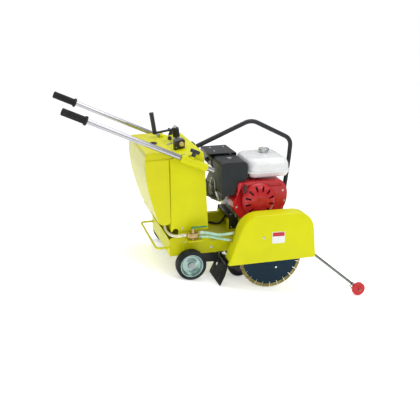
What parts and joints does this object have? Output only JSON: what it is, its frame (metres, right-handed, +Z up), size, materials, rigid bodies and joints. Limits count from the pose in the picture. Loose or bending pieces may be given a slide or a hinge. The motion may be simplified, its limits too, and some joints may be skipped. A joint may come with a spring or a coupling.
{
  "type": "walk-behind concrete saw",
  "caption": "Walk-behind floor saw with a petrol engine, guarded diamond blade, water tank, long sliding handles, four wheels and a cut-line pointer.",
  "frame": {"origin": "on the floor, under the middle of the machine's bounding box", "axes": "+X forward along the cut, +Y to the operator's left, +Z up from the floor"},
  "size_m": [1.811, 0.7172, 0.8501],
  "materials": {
    "yellow_paint": "semi-gloss powder coat",
    "tank_plastic": "moulded polyethylene, slightly translucent",
    "black_paint": "satin black powder coat",
    "red_paint": "gloss enamel",
    "white_paint": "gloss enamel",
    "chrome_tube": "bright plated",
    "zinc_steel": "zinc plated, slightly dull",
    "dark_steel": "machined and oiled",
    "cast_alloy": "as cast",
    "grip_rubber": "matt moulded rubber",
    "tyre_rubber": "matt solid rubber",
    "flap_rubber": "matt sheet rubber",
    "belt_rubber": "matt",
    "black_plastic": "fine moulded texture",
    "button_plastic": "smooth",
    "cream_hose": "soft flexible tube",
    "green_hose": "translucent flexible tube",
    "green_plastic": "smooth",
    "valve_brass": "dull machined",
    "blade_steel": "dark lacquered steel core with sintered rim",
    "red_plastic": "moulded wheel"
  },
  "bodies": {
    "root": {"chassis_frame": "yellow_paint", "rear_axle": "zinc_steel", "rear_bar": "yellow_paint", "lifting_bar": "black_paint", "mud_flap": "flap_rubber", "blade_guard": "yellow_paint", "belt_cover": "yellow_paint", "console_shell": "yellow_paint", "water_tank": "tank_plastic", "switch_box": "black_plastic", "arbor_bearing_right": "black_paint", "arbor_bearing_left": "black_paint", "drive_belt": "belt_rubber", "engine_mount": "yellow_paint", "crankcase": "cast_alloy", "engine_cylinder": "cast_alloy", "fan_cover": "red_paint", "recoil_cover": "red_paint", "fuel_tank": "white_paint", "air_cleaner": "black_plastic", "carburettor": "cast_alloy", "muffler": "black_paint", "muffler_shield": "black_paint", "valve_body": "valve_brass", "supply_hose": "cream_hose", "guard_hose_upper": "green_hose", "guard_hose_lower": "green_hose", "throttle_cable": "black_plastic", "handle_sleeve_right": "yellow_paint", "handle_sleeve_left": "yellow_paint"},
    "handle_right": {"handle_tube_right": "chrome_tube", "handle_grip_right": "grip_rubber"},
    "lock_knob_right": {"lock_knob_right": "black_plastic"},
    "front_wheel_right": {"front_wheel_right": "tyre_rubber"},
    "rear_wheel_right": {"rear_tyre_right": "tyre_rubber", "rear_rim_right": "zinc_steel"},
    "handle_left": {"handle_tube_left": "chrome_tube", "handle_grip_left": "grip_rubber"},
    "lock_knob_left": {"lock_knob_left": "black_plastic"},
    "front_wheel_left": {"front_wheel_left": "tyre_rubber"},
    "rear_wheel_left": {"rear_tyre_left": "tyre_rubber", "rear_rim_left": "zinc_steel"},
    "crank": {"depth_crank": "black_paint", "depth_screw": "zinc_steel"},
    "crank_grip": {"crank_grip": "black_plastic"},
    "carriage": {"carriage_frame": "black_paint"},
    "blade": {"saw_blade": "blade_steel", "blade_flange": "zinc_steel", "arbor_shaft": "dark_steel", "driven_pulley": "dark_steel"},
    "engine_output": {"engine_shaft": "dark_steel"},
    "throttle": {"throttle_lever": "black_plastic"},
    "stop_button": {"stop_button": "button_plastic"},
    "filler_cap": {"filler_cap": "black_plastic"},
    "fuel_cap": {"fuel_cap": "zinc_steel"},
    "recoil_grip": {"recoil_grip": "black_plastic"},
    "valve_lever": {"valve_lever": "green_plastic"},
    "choke_lever": {"choke_lever": "zinc_steel"},
    "pointer": {"pointer_arm": "zinc_steel"},
    "pointer_wheel": {"pointer_wheel": "red_plastic"}
  },
  "joints": [
    {"name": "handle_right_slide", "type": "slide", "parent": "root", "child": "handle_right", "axis": [-0.9742, 0, 0.2258], "range_m": [-0.15, 0.1]},
    {"name": "lock_knob_right_turn", "type": "hinge", "parent": "root", "child": "lock_knob_right", "pos_m": [-0.21725, -0.23455, 0.6665], "axis": [0.2258, 0, 0.9742], "range_deg": [0, 540]},
    {"name": "handle_left_slide", "type": "slide", "parent": "root", "child": "handle_left", "axis": [-0.9742, 0, 0.2258], "range_m": [-0.15, 0.1]},
    {"name": "lock_knob_left_turn", "type": "hinge", "parent": "root", "child": "lock_knob_left", "pos_m": [-0.21725, 0.29865, 0.6665], "axis": [0.2258, 0, 0.9742], "range_deg": [0, 540]},
    {"name": "depth_crank_turn", "type": "hinge", "parent": "root", "child": "crank", "pos_m": [-0.21226, 0.17205, 0.66009], "axis": [-0.342, 0, 0.9397], "range_deg": [0, 1440]},
    {"name": "crank_grip_spin", "type": "hinge", "parent": "crank", "child": "crank_grip", "pos_m": [-0.34161, 0.17205, 0.67047], "axis": [-0.342, 0, 0.9397], "continuous": true},
    {"name": "carriage_swing", "type": "hinge", "parent": "root", "child": "carriage", "pos_m": [-0.12892, 0.03205, 0.08], "axis": [0, -1, 0], "range_deg": [0, 16]},
    {"name": "front_wheel_right_roll", "type": "hinge", "parent": "carriage", "child": "front_wheel_right", "pos_m": [0.18144, -0.15095, 0.06], "axis": [0, 1, 0], "continuous": true},
    {"name": "rear_wheel_right_roll", "type": "hinge", "parent": "root", "child": "rear_wheel_right", "pos_m": [-0.12892, -0.26345, 0.08], "axis": [0, 1, 0], "continuous": true},
    {"name": "front_wheel_left_roll", "type": "hinge", "parent": "carriage", "child": "front_wheel_left", "pos_m": [0.18144, 0.21505, 0.06], "axis": [0, 1, 0], "continuous": true},
    {"name": "rear_wheel_left_roll", "type": "hinge", "parent": "root", "child": "rear_wheel_left", "pos_m": [-0.12892, 0.32755, 0.08], "axis": [0, 1, 0], "continuous": true},
    {"name": "blade_spin", "type": "hinge", "parent": "root", "child": "blade", "pos_m": [0.29014, -0.30795, 0.18195], "axis": [0, 1, 0], "continuous": true},
    {"name": "engine_spin", "type": "hinge", "parent": "root", "child": "engine_output", "pos_m": [0.20299, 0.29805, 0.45234], "axis": [0, 1, 0], "continuous": true},
    {"name": "throttle_turn", "type": "hinge", "parent": "root", "child": "throttle", "pos_m": [-0.24679, 0.09105, 0.62442], "axis": [0, 1, 0], "range_deg": [0, 50]},
    {"name": "stop_button_press", "type": "slide", "parent": "root", "child": "stop_button", "axis": [0, 1, 0], "range_m": [0, 0.004], "stiffness_N_per_m": 300},
    {"name": "filler_cap_lift", "type": "slide", "parent": "root", "child": "filler_cap", "axis": [-0.2011, 0, 0.9796], "range_m": [0, 0.06]},
    {"name": "fuel_cap_turn", "type": "hinge", "parent": "root", "child": "fuel_cap", "pos_m": [0.25184, 0.01205, 0.68185], "axis": [-0.2011, 0, 0.9796], "range_deg": [0, 90]},
    {"name": "recoil_grip_pull", "type": "slide", "parent": "root", "child": "recoil_grip", "axis": [0, -1, 0], "range_m": [0, 0.3], "stiffness_N_per_m": 40},
    {"name": "valve_lever_turn", "type": "hinge", "parent": "root", "child": "valve_lever", "pos_m": [-0.15208, -0.24995, 0.27737], "axis": [0.2011, 0, -0.9796], "range_deg": [0, 90]},
    {"name": "choke_turn", "type": "hinge", "parent": "root", "child": "choke_lever", "pos_m": [0.04505, -0.04795, 0.42605], "axis": [0, 1, 0], "range_deg": [0, 35]},
    {"name": "pointer_fold", "type": "hinge", "parent": "root", "child": "pointer", "pos_m": [0.548, -0.26795, 0.21385], "axis": [0, -1, 0], "range_deg": [0, 130]},
    {"name": "pointer_wheel_roll", "type": "hinge", "parent": "pointer", "child": "pointer_wheel", "pos_m": [0.86761, -0.30795, 0.03935], "axis": [0, 1, 0], "continuous": true}
  ],
  "couplings": [
    {"joint": "carriage_swing", "follows": "depth_crank_turn", "ratio": 0.011111},
    {"joint": "engine_spin", "follows": "blade_spin", "ratio": 1.2}
  ]
}
